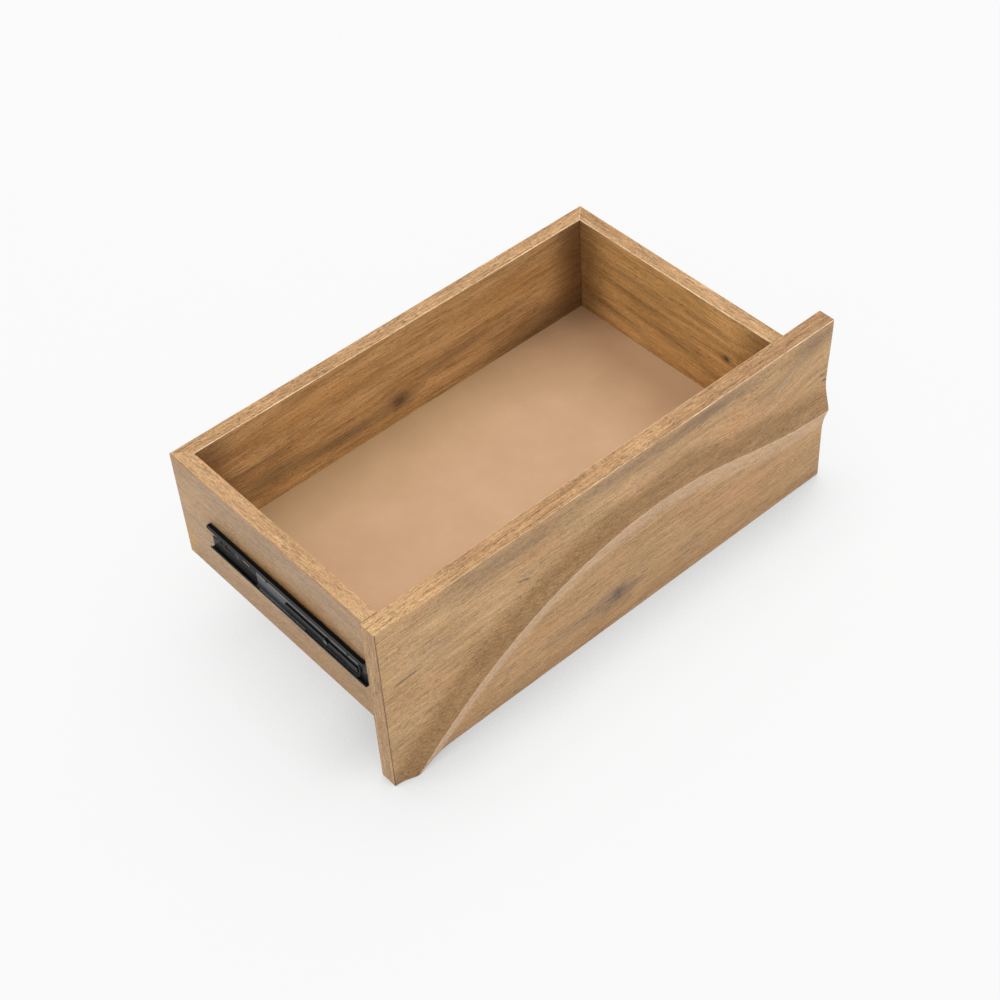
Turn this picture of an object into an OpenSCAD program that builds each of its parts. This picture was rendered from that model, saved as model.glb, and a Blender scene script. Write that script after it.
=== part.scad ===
// Wooden drawer with a carved wave front and a ball-bearing slide on each side.
// Millimetres. X runs across the drawer, +Y from the front to the rear, +Z up.
// The origin is at the bottom, in the middle of the whole drawer.

/* [Front panel] */
// Width of the front panel
panel_w = 620; // [560:1:760]
// Height of the front panel
panel_h = 231; // [205:1:300]
// Thickness of the front panel at its upper edge and left end
panel_t = 21; // [18:0.5:30]
// How far the front panel reaches past the box on the left
left_reveal = 2.5; // [0:0.5:40]
// How far the front panel hangs below the box
skirt_h = 88; // [0:1:110]

/* [Carved wave] */
// Distance from the left end to where the crest meets the lower edge
foot_x = 26; // [10:1:60]
// Slope of the crest where it leaves the lower edge
foot_slope = 0.95; // [0.6:0.05:1.3]
// Distance from the left end to the crest's highest point
peak_x = 363; // [280:1:460]
// Height of the crest's highest point
peak_z = 148; // [110:1:170]
// Height of the crest at the right end
end_z = 104; // [70:1:140]
// How far the crest stands out at its foot
foot_rise = 6; // [2:0.5:9]
// How far the crest stands out at the right end
end_rise = 4; // [2:0.5:9]
// Depth of the sunk field on both sides of the crest
field_sink = 3; // [0:0.5:5]
// Width of the flank above the crest
upper_flank = 36; // [15:1:50]
// Width of the flank below the crest
lower_flank = 34; // [15:1:50]
// Height of the band that leads up to the upper edge
top_band = 90; // [40:1:110]
// Width of the band that leads out to the left end
left_band = 80; // [30:1:150]

/* [Box] */
// Width of the box behind the front panel
box_w = 562; // [500:1:620]
// Depth of the box behind the front panel
box_d = 307; // [290:1:400]
// Thickness of the sides and the back
board_t = 18; // [15:0.5:25]
// Thickness of the bottom board
bottom_t = 6; // [4:0.5:9]
// Distance from the lower edge of the box to the bottom board
bottom_lift = 12; // [8:0.5:20]
// Depth of the groove that holds the bottom board
groove_d = 8; // [5:0.5:9]
// Play of the bottom board in its groove
groove_gap = 0.15; // [0.05:0.05:0.3]

/* [Wood joints] */
// Radius of the dowels between the front panel and the sides
dowel_r = 4; // [3:0.5:5]
// Length of a dowel in the front panel
dowel_in_panel = 10.5; // [8:0.5:12]
// Length of a dowel in the side
dowel_in_side = 19.5; // [15:0.5:30]
// Number of dowels in each side
dowel_count = 3; // [2:1:3]
// Distance from the bottom board's groove to the lowest dowel
dowel_above_groove = 14; // [8:1:25]
// Distance from the upper edge to the highest dowel
dowel_below_top = 25; // [15:1:40]
// Wood between the middle dowel and the slide's front screw
dowel_past_screw = 1.25; // [1:0.25:4]
// Length of a biscuit in the rear corners
biscuit_len = 44; // [35:1:48]
// Width of a biscuit, across the mitre
biscuit_w = 15; // [10:1:16]
// Thickness of a biscuit
biscuit_t = 4; // [3:0.5:4]
// Distance from the inner corner to the biscuit, along one board
biscuit_inset = 5; // [4:0.5:7]
// Radial and side play of dowels and biscuits in their holes
joint_gap = 0.1; // [0.05:0.01:0.15]
// Room left past the ends of dowels and biscuits
end_room = 0.5; // [0.2:0.1:1]

/* [Slide channel] */
// Length of the channel on the side of the box
slide_len = 250; // [240:1:270]
// Height of the channel
slide_h = 34; // [30:0.5:45]
// How far the channel stands out from the side
slide_depth = 6; // [5.5:0.1:8]
// Thickness of the channel's sheet
sheet_t = 1.2; // [0.8:0.1:1.5]
// Outer radius of the channel's bends
bend_r = 2; // [1.6:0.1:2.4]
// Height of the slide's centre line above the front panel's lower edge
slide_z = 156; // [140:1:170]
// Distance from the front panel to the channel
slide_gap = 1; // [0.5:0.5:5]
// Distance from the channel's front end to its front screw
front_screw_y = 5; // [5:0.5:7]
// Distance from the channel's front end to its middle screw
middle_screw_y = 110; // [100:1:150]
// Distance from the channel's rear end to its rear screw
rear_screw_y = 42; // [37:1:60]
// Radius of a screw's shank
screw_r = 1.75; // [1.5:0.05:2]
// Radius of a screw's sunk head
screw_head_r = 3.4; // [3:0.1:4]
// Length of a screw
screw_len = 14; // [10:0.5:15]
// Width of the stamped slots in the channel
stamp_w = 5; // [3:0.5:7]

/* [Rail and balls] */
// Length of the rail that is fastened to the cabinet
rail_len = 161; // [150:1:175]
// Distance from the channel's front end to the rail when closed
rail_start = 12; // [11:0.5:20]
// Thickness of the rail's sheet
rail_t = 1; // [0.8:0.1:1.2]
// Outer radius of the rail's bends
rail_bend_r = 1.5; // [1.2:0.1:1.8]
// Width of the rail's flanges
rail_flange = 3; // [2.4:0.1:3.1]
// Gap between the channel's web and the rail's web
web_gap = 0.4; // [0.3:0.05:0.6]
// How far the rail travels
rail_travel = 160; // [120:1:162]
// Radius of the rail's two fixing holes
fixing_r = 2.25; // [2:0.25:2.5]
// Distance between the rail's two fixing holes
fixing_pitch = 128; // [96:1:128]
// Height of the fixing holes above the rail's centre line
fixing_z = 5.5; // [5:0.5:7]
// Radius of the balls
ball_r = 1.4; // [1.2:0.05:1.5]
// Running gap between the balls and the tracks
run_gap = 0.3; // [0.25:0.05:0.4]
// Length of the ball cage
cage_len = 74; // [60:1:74]
// Thickness of the ball cage
cage_t = 0.6; // [0.4:0.1:0.7]
// Number of balls in each track
ball_count = 6; // [4:1:8]

/* [Release lever] */
// Length of the lever
lever_len = 114; // [90:1:118]
// Height of the lever's arm
lever_h = 5; // [4:0.5:6]
// Thickness of the lever
lever_t = 1.2; // [1:0.1:1.4]
// Depth of the lever's centre line below the rail's
lever_drop = 3; // [2:0.5:4]
// Length of the thumb tab at the lever's front end
tab_len = 14; // [10:1:18]
// Height of the thumb tab
tab_h = 7.5; // [6:0.5:8]
// Distance from the lever's front end to its pivot
pivot_y = 48; // [40:1:60]
// Radius of the pivot rivet's shank
pivot_r = 1.5; // [1.2:0.1:1.8]
// Radius of the pivot rivet's head
rivet_head_r = 3; // [2.6:0.1:3.5]
// Radius of the lever's boss round the pivot
boss_r = 4.2; // [3.8:0.1:5]
// Running gap of the lever on its rivet
pivot_gap = 0.05; // [0.03:0.01:0.08]

/* [Hidden] */
$fn = 48;

oak = "burlywood";
oak_inside = "peru";
board_tan = "tan";
black = [0.12, 0.12, 0.13];
plate_grey = [0.35, 0.35, 0.37];
bright = "silver";

// Places of the box, measured from the front panel's lower left corner
box_x = left_reveal;
box_z = skirt_h;
box_h = panel_h - skirt_h;
box_y = panel_t;
rear_y = panel_t + box_d;
floor_z = box_z + bottom_lift;
box_mid = box_x + box_w / 2;

// The whole drawer's box, which sets the origin
low_x = min(0, box_x - slide_depth);
high_x = max(panel_w, box_x + box_w + slide_depth);
low_y = -foot_rise;
origin_x = (low_x + high_x) / 2;
origin_y = (low_y + rear_y) / 2;

// A cut runs this far past the faces that it goes through
past = 1;

// Dowels stand in the middle of each side's thickness, the middle one just above
// the slide's screws
dowel_low_z = floor_z + bottom_t + dowel_above_groove;
dowel_mid_z = slide_z + screw_r + dowel_past_screw + dowel_r;
dowel_high_z = panel_h - dowel_below_top;
dowel_places = dowel_count < 3
    ? [dowel_low_z, dowel_high_z]
    : [dowel_low_z, dowel_mid_z, dowel_high_z];

// Biscuits stand one below and one above the middle of the rear corners,
// at these shares of the box's height
low_biscuit = 0.36;
high_biscuit = 0.77;
biscuit_z = [box_z + box_h * low_biscuit, box_z + box_h * high_biscuit];
// A biscuit's pointed tips are cut off, this much in all
biscuit_tips = 4;

// Places across the slide: u is measured outwards from the side of the box,
// and heights from the slide's centre line
track_u = slide_depth / 2;
ball_z = slide_h / 2 - sheet_t - run_gap - ball_r;
rail_half = ball_z - ball_r - run_gap;
cage_low = rail_half + run_gap;
lip_end = cage_low + cage_t + run_gap;
rail_u = sheet_t + web_gap;
rail_face_u = rail_u + rail_t;
cage_edge = 0.6;
cage_u = [sheet_t + run_gap, slide_depth - cage_edge];
// The cage's hole lets the ball sink in, with a tenth of a millimetre to spare
cage_hole_r = sqrt(pow(ball_r, 2) - pow(ball_z - cage_low - cage_t, 2)) + 0.1;

// Places along the slide, measured from the channel's front end
stop_w = 1.5;
stop_room = 0.5;
cage_start = rail_start + stop_w + rail_travel / 2 + stop_room;
ball_margin = 7;
ball_step = (cage_len - 2 * ball_margin) / (ball_count - 1);
bumper_t = 2.4;
bumper_h = 10;
bumper_room = 0.4;
bumper_over = 0.6;
screw_places = [front_screw_y, middle_screw_y, slide_len - rear_screw_y];
// The screws' cross recess
recess_w = 0.7;
recess_t = 0.8;
// Stamped slots, each with the place of its middle and its length
long_slot = 20;
stamped_slots = [[slide_len / 3, long_slot],
                 [slide_len - rear_screw_y - 14, 14],
                 [slide_len - 27, 10],
                 [slide_len - 16, stamp_w + 0.5],
                 [slide_len - 3, 12]];
fixing_y = (rail_len - fixing_pitch) / 2;
lever_start = 1;
lever_lift = 0.2;
rivet_room = 0.2;
rivet_head_t = 0.8;

// The wave's surface
function smooth(t) = let (c = min(1, max(0, t))) c * c * (3 - 2 * c);
function rising(t) = pow(t, 3) - 2 * pow(t, 2) + t;
function crest_z(x) =
    x < peak_x
    ? let (span = peak_x - foot_x, t = (x - foot_x) / span)
      peak_z * (3 * t * t - 2 * t * t * t) + foot_slope * span * rising(t)
    : peak_z - (peak_z - end_z) * smooth((x - peak_x) / (panel_w - peak_x));
function crest_slope(x) = crest_z(x + 0.5) - crest_z(x - 0.5);
function from_crest(x, z) = (z - crest_z(x)) / sqrt(1 + pow(crest_slope(x), 2));
function ridge(s) =
    s > 0
    ? let (u = min(1, s / upper_flank)) pow(1 - u, 2) * (1 + u)
    : let (v = min(1, -s / lower_flank)) pow(1 - v, 2);
function crest_rise(x) =
    foot_rise + (end_rise - foot_rise) * (x - foot_x) / (panel_w - foot_x);
function fade_in(x) = smooth(x / foot_x);
function above_crest(s) = smooth(s / upper_flank + 0.5);
function sunk(x, z) =
    let (s = from_crest(x, z),
         top = smooth((z - panel_h + top_band) / top_band),
         left = 1 - smooth(x / left_band))
    field_sink * (1 - max(top, left) * above_crest(s));
function face_y(x, z) =
    sunk(x, z) - fade_in(x) * ridge(from_crest(x, z)) * (crest_rise(x) + sunk(x, z));

// Columns of the carved face: one at the crest's foot, then even steps
face_cols = 44;
face_x = concat([0, foot_x / 2], [for (i = [0:face_cols]) foot_x + (panel_w - foot_x) * i / face_cols]);
// Rows lie closer together near the crest
rows_below = 7;
rows_above = 11;
last_col = len(face_x) - 1;
last_row = rows_below + rows_above;
least_row_z = 12;
function row_z(x, j) =
    let (c = max(least_row_z, crest_z(x)))
    j <= rows_below
    ? c * sin(90 * j / rows_below)
    : c + (panel_h - c) * (1 - cos(90 * (j - rows_below) / rows_above));
function face_point(i, j) =
    let (x = face_x[i], z = row_z(x, j)) [x, face_y(x, z), z];
function face_index(i, j) = i * (last_row + 1) + j;

module at_origin() {
    translate([-origin_x, -origin_y, 0]) children();
}

module board(size, place) {
    translate(place) cube(size);
}

// Runs a flat outline of the slide's section along Y
module along_y(start, length) {
    translate([0, start + length, 0]) rotate([90, 0, 0]) linear_extrude(length) children();
}

// Puts a slide piece on the right side of the box, or mirrored on the left
module on_side(side) {
    at_origin()
        translate([box_mid, box_y + slide_gap, slide_z])
            mirror([side == "left" ? 1 : 0, 0, 0])
                translate([box_w / 2, 0, 0]) children();
}

// A cylinder that points outwards from the side of the box
module pin_out(r, from_u, to_u, y, z) {
    translate([from_u, y, z]) rotate([0, 90, 0]) cylinder(r = r, h = to_u - from_u);
}

// The carved block. Each flat edge is a fan of triangles from a corner at the back,
// and the right end's fan starts behind the crest.
module carved_block() {
    front = [for (i = [0:last_col]) for (j = [0:last_row]) face_point(i, j)];
    back = [[0, panel_t, 0], [panel_w, panel_t, 0], [panel_w, panel_t, panel_h],
            [0, panel_t, panel_h], [panel_w, panel_t, end_z]];
    b = len(front);
    lower_tris = [for (i = [0:last_col - 1]) for (j = [0:last_row - 1])
        [face_index(i, j), face_index(i + 1, j + 1), face_index(i + 1, j)]];
    upper_tris = [for (i = [0:last_col - 1]) for (j = [0:last_row - 1])
        [face_index(i, j), face_index(i, j + 1), face_index(i + 1, j + 1)]];
    low_edge = concat([b], [for (i = [0:last_col]) face_index(i, 0)], [b + 1]);
    high_edge = concat([b + 3, b + 2], [for (i = [last_col:-1:0]) face_index(i, last_row)]);
    left_edge = concat([b, b + 3], [for (j = [last_row:-1:0]) face_index(0, j)]);
    right_edge = concat([b + 4, b + 1], [for (j = [0:last_row]) face_index(last_col, j)], [b + 2]);
    back_face = [b, b + 1, b + 4, b + 2, b + 3];
    polyhedron(
        points = concat(front, back),
        faces = concat(lower_tris, upper_tris,
                       [low_edge, high_edge, left_edge, right_edge, back_face]),
        convexity = 6);
}

// A slab as wide as the inside of the box, reaching into all four walls
module slab(reach, gap) {
    board([box_w - 2 * board_t + 2 * reach, box_d - board_t + 2 * reach, bottom_t + 2 * gap],
          [box_x + board_t - reach, box_y - reach, floor_z - gap]);
}

module groove() {
    slab(groove_d, groove_gap);
}

module dowels(side, gap, room) {
    x = side == "left" ? box_x + board_t / 2 : box_x + box_w - board_t / 2;
    for (z = dowel_places)
        translate([x, box_y - dowel_in_panel - room, z])
            rotate([-90, 0, 0])
                cylinder(r = dowel_r + gap, h = dowel_in_panel + dowel_in_side + 2 * room);
}

module biscuit_outline(gap) {
    arc_r = (pow(biscuit_len, 2) + pow(biscuit_w, 2)) / (4 * biscuit_w);
    intersection() {
        for (s = [-1, 1])
            translate([0, s * (arc_r - biscuit_w / 2)]) circle(r = arc_r + gap, $fn = 96);
        square([biscuit_len - biscuit_tips + 2 * gap, biscuit_w + past], center = true);
    }
}

// Biscuits stand upright across the mitre of a rear corner
module biscuits(side, gap) {
    lean = board_t - biscuit_inset;
    x = side == "left" ? box_x + lean : box_x + box_w - lean;
    turn = side == "left" ? 45 : -45;
    for (z = biscuit_z)
        translate([x, rear_y - lean, z])
            rotate([0, 0, turn])
                rotate([0, -90, 90])
                    linear_extrude(biscuit_t + 2 * gap, center = true)
                        biscuit_outline(gap);
}

module side_outline() {
    polygon([[0, 0], [0, box_d], [board_t, box_d - board_t], [board_t, 0]]);
}

module side_board(side) {
    x = side == "left" ? box_x : box_x + box_w;
    difference() {
        translate([x, box_y, box_z])
            mirror([side == "left" ? 0 : 1, 0, 0])
                linear_extrude(box_h) side_outline();
        groove();
        dowels(side, joint_gap, end_room);
        biscuits(side, joint_gap);
    }
}

module front_panel() {
    color(oak) at_origin() difference() {
        carved_block();
        groove();
        dowels("left", joint_gap, end_room);
        dowels("right", joint_gap, end_room);
    }
}

module left_side() {
    color(oak_inside) difference() {
        at_origin() side_board("left");
        on_side("left") screw_bores();
    }
}

module right_side() {
    color(oak_inside) difference() {
        at_origin() side_board("right");
        on_side("right") screw_bores();
    }
}

module back_board() {
    color(oak_inside) at_origin() difference() {
        translate([box_x, rear_y - board_t, box_z])
            linear_extrude(box_h)
                polygon([[0, board_t], [box_w, board_t], [box_w - board_t, 0], [board_t, 0]]);
        groove();
        biscuits("left", joint_gap);
        biscuits("right", joint_gap);
    }
}

module bottom_board() {
    color(board_tan) at_origin() slab(groove_d - end_room, 0);
}

module left_front_dowels() {
    color(oak) at_origin() dowels("left", 0, 0);
}

module right_front_dowels() {
    color(oak) at_origin() dowels("right", 0, 0);
}

module left_mitre_biscuits() {
    color(oak) at_origin() biscuits("left", 0);
}

module right_mitre_biscuits() {
    color(oak) at_origin() biscuits("right", 0);
}

// A quarter of a bent sheet: the ring's part in the quadrant that (sx, sy) names
module bend(outer, thick, place, sx, sy) {
    translate(place) intersection() {
        difference() {
            circle(r = outer);
            circle(r = outer - thick);
        }
        translate([sx < 0 ? -outer : 0, sy < 0 ? -outer : 0]) square(outer);
    }
}

module channel_outline() {
    half = slide_h / 2;
    translate([0, bend_r - half]) square([sheet_t, slide_h - 2 * bend_r]);
    for (s = [-1, 1]) mirror([0, s < 0 ? 1 : 0]) {
        translate([bend_r, half - sheet_t]) square([slide_depth - 2 * bend_r, sheet_t]);
        translate([slide_depth - sheet_t, lip_end]) square([sheet_t, half - bend_r - lip_end]);
        bend(bend_r, sheet_t, [bend_r, half - bend_r], -1, 1);
        bend(bend_r, sheet_t, [slide_depth - bend_r, half - bend_r], 1, 1);
    }
}

module rail_outline() {
    translate([rail_u, rail_bend_r - rail_half]) square([rail_t, 2 * (rail_half - rail_bend_r)]);
    for (s = [-1, 1]) mirror([0, s < 0 ? 1 : 0]) {
        translate([rail_u + rail_bend_r, rail_half - rail_t]) square([rail_flange - rail_bend_r, rail_t]);
        bend(rail_bend_r, rail_t, [rail_u + rail_bend_r, rail_half - rail_bend_r], -1, 1);
    }
}

// A slot with round ends, cut through the channel's web along Y
module stamped_slot(y, length) {
    flat = length - stamp_w;
    for (e = [-flat / 2, flat / 2]) pin_out(stamp_w / 2, -past, sheet_t + past, y + e, 0);
    translate([-past, y - flat / 2, -stamp_w / 2]) cube([sheet_t + 2 * past, flat, stamp_w]);
}

module sunk_screw(gap) {
    head_h = screw_head_r - screw_r;
    translate([sheet_t - head_h, 0, 0]) rotate([0, 90, 0])
        cylinder(r1 = screw_r + gap, r2 = screw_head_r + gap, h = head_h);
    pin_out(screw_r + gap, sheet_t - screw_len - gap, sheet_t - head_h, 0, 0);
}

module screw_bores() {
    for (y = screw_places) translate([0, y, 0]) {
        sunk_screw(joint_gap);
        pin_out(screw_head_r + joint_gap, sheet_t, sheet_t + past, 0, 0);
    }
}

// A pressed stop in a ball track, between the given heights
module track_stop(y, low, high) {
    for (s = [-1, 1]) mirror([0, 0, s < 0 ? 1 : 0])
        translate([track_u - ball_r / 2, y, low]) cube([ball_r, stop_w, high - low]);
}

module slide_channel(side) {
    color(black) on_side(side) difference() {
        union() {
            along_y(0, slide_len) channel_outline();
            track_stop(slide_len - stop_w - stop_room, ball_z + ball_r / 2, slide_h / 2 - sheet_t / 2);
        }
        screw_bores();
        for (slot = stamped_slots) stamped_slot(slot[0], slot[1]);
    }
}

module channel_screws(side) {
    color(bright) on_side(side)
        for (y = screw_places) translate([0, y, 0]) difference() {
            sunk_screw(0);
            for (a = [0, 45]) rotate([a, 0, 0])
                translate([sheet_t - recess_t, -screw_head_r / 2, -recess_w / 2])
                    cube([past, screw_head_r, recess_w]);
        }
}

module stop_bumper(side) {
    color(black) on_side(side)
        translate([sheet_t, rail_start - bumper_room - bumper_t, -bumper_h / 2])
            cube([rail_face_u - sheet_t + bumper_over, bumper_t, bumper_h]);
}

module ball_cage(side) {
    color(bright) on_side(side)
        for (s = [-1, 1]) mirror([0, 0, s < 0 ? 1 : 0]) difference() {
            translate([cage_u[0], cage_start, cage_low])
                cube([cage_u[1] - cage_u[0], cage_len, cage_t]);
            for (k = [0:ball_count - 1])
                translate([track_u, cage_start + ball_margin + k * ball_step, cage_low - past])
                    cylinder(r = cage_hole_r, h = cage_t + 2 * past);
        }
}

module slide_balls(side) {
    color(bright) on_side(side)
        for (s = [-1, 1]) for (k = [0:ball_count - 1])
            translate([track_u, cage_start + ball_margin + k * ball_step, s * ball_z])
                sphere(r = ball_r);
}

module cabinet_rail(side) {
    color(plate_grey) on_side(side) difference() {
        union() {
            along_y(rail_start, rail_len) rail_outline();
            track_stop(rail_start, rail_half - rail_t / 2, ball_z - ball_r / 2);
        }
        for (y = [fixing_y, fixing_y + fixing_pitch])
            pin_out(fixing_r, rail_u - past, rail_face_u + past, rail_start + y, fixing_z);
        pin_out(pivot_r + joint_gap, rail_u - past, rail_face_u + past,
                rail_start + lever_start + pivot_y, -lever_drop);
    }
}

module release_lever(side) {
    u = rail_face_u + lever_lift;
    start = rail_start + lever_start;
    color(black) on_side(side) translate([u, start, -lever_drop]) difference() {
        union() {
            translate([0, tab_len / 2, -lever_h / 2])
                cube([lever_t, lever_len - tab_len / 2 - lever_h / 2, lever_h]);
            pin_out(lever_h / 2, 0, lever_t, lever_len - lever_h / 2, 0);
            pin_out(boss_r, 0, lever_t, pivot_y, 0);
            translate([0, 0, lever_h / 2 - tab_h]) cube([lever_t, tab_len, tab_h]);
        }
        pin_out(pivot_r + pivot_gap, -past, lever_t + past, pivot_y, 0);
    }
}

module lever_rivet(side) {
    head_u = rail_face_u + lever_lift + lever_t + rivet_room;
    color(bright) on_side(side)
        translate([0, rail_start + lever_start + pivot_y, -lever_drop]) {
            pin_out(pivot_r, rail_u, head_u, 0, 0);
            pin_out(rivet_head_r, head_u, head_u + rivet_head_t, 0, 0);
        }
}

front_panel();
left_side();
right_side();
back_board();
bottom_board();
left_front_dowels();
right_front_dowels();
left_mitre_biscuits();
right_mitre_biscuits();
slide_channel("left");  // left_slide_channel
channel_screws("left");  // left_channel_screws
stop_bumper("left");  // left_stop_bumper
ball_cage("left");  // left_ball_cage
slide_balls("left");  // left_slide_balls
cabinet_rail("left");  // left_cabinet_rail
release_lever("left");  // left_release_lever
lever_rivet("left");  // left_lever_rivet
slide_channel("right");  // right_slide_channel
channel_screws("right");  // right_channel_screws
stop_bumper("right");  // right_stop_bumper
ball_cage("right");  // right_ball_cage
slide_balls("right");  // right_slide_balls
cabinet_rail("right");  // right_cabinet_rail
release_lever("right");  // right_release_lever
lever_rivet("right");  // right_lever_rivet
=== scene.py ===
import math

import bmesh
import bpy
import numpy as np
from mathutils import Matrix, Vector


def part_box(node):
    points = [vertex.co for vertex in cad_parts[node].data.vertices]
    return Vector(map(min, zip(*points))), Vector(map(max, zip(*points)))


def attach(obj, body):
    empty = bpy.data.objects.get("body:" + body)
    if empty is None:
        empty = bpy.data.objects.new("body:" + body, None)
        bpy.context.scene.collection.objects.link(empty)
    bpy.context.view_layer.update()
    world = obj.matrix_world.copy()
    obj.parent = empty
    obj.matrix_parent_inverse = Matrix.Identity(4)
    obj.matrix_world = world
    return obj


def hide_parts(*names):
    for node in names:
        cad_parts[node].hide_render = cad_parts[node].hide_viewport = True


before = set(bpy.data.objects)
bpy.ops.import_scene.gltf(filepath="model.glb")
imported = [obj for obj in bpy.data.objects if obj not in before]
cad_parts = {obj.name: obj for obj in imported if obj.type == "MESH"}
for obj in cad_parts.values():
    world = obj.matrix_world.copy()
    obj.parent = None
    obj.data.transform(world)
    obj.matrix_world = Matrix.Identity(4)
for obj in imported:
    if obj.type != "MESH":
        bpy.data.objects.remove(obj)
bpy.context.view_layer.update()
MM = 0.001
SIDES = ("left", "right")
# What is let into a side, besides the bottom board
LET_IN_SIDE = ("_front_dowels", "_mitre_biscuits", "_channel_screws")

# The camera: angles in degrees, lengths in metres, lens and sensor in millimetres
AZIMUTH, ELEVATION, ROLL = -38.72, 46.05, -3.98
DISTANCE = 2.125
LENS, SENSOR = 72.03, 36
AIM_HEIGHT, AIM_RIGHT, AIM_UP = 0.110, -0.017, -0.0295

# Light: the world's strength, and a large lamp above the right rear corner
WORLD_STRENGTH = 0.78
LAMP_SIZE, LAMP_PLACE, LAMP_POWER = 4.6, (2.5, 1.3, 4.8), 124
# What the camera sees as the world's strength
BACKGROUND = 0.922
# The floor, in metres: its size, and how far below the object it lies
FLOOR_SIZE, FLOOR_DROP = 24, 0.2 * MM
# The share of light that the floor throws back, and what it glows with besides: for the
# object, so that this gets what a white floor gives, and for the camera
FLOOR_ALBEDO, FLOOR_BOUNCE, FLOOR_SEEN = 0.08, 0.69, 0.870
# How far and how deeply the floor darkens close to the object, and under the box
SHADE_REACH, SHADE_DEPTH = 0.115, 0.95
UNDER_REACH, UNDER_DEPTH = 0.19, 0.46
SHADE_SAMPLES = 4

# The carved wave, in millimetres from the front panel's lower left corner
FOOT_X, FOOT_SLOPE = 26, 0.95
PEAK_X, PEAK_Z, END_Z = 363, 148, 104
FOOT_RISE, END_RISE, FIELD_SINK = 6, 4, 3
UPPER_FLANK, LOWER_FLANK = 36, 34
TOP_BAND, LEFT_BAND = 90, 80
CREST_ROUNDING = 1.5

# Where the front panel stands, and its size in millimetres
PANEL_LOW, PANEL_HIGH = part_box("front_panel")
PANEL_W = (PANEL_HIGH.x - PANEL_LOW.x) / MM
PANEL_H = (PANEL_HIGH.z - PANEL_LOW.z) / MM
PANEL_T = (PANEL_HIGH.y - PANEL_LOW.y) / MM - FOOT_RISE

# Eased edges, and the closer edges where two boards meet
EASING = 0.8 * MM
JOINT_SHARE = 0.4
# Play round the pieces that are let into the boards
SEAT_GAP = 0.1 * MM
# Material slots: of the carved front, of the boards, and of the eased edges of both
RIM, BACK, END = 1, 2, 5
FIRST_FACE, SECOND_FACE, EDGES = 0, 1, 2
EASED, SEAM = 3, 4
# A face looks along a direction where its normal's share of it is above the first number,
# and across it where that is below the second
ALONG, ACROSS = 0.8, 0.2


def in_mm(corners):
    """A box's lowest and highest corners, in millimetres."""
    return [corner / MM for corner in corners]


def colour(red, green, blue):
    """A colour, written as the sRGB values that it should look like."""
    def linear(c):
        c = c / 255
        return c / 12.92 if c <= 0.04045 else ((c + 0.055) / 1.055) ** 2.4
    return (linear(red), linear(green), linear(blue), 1.0)


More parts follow.
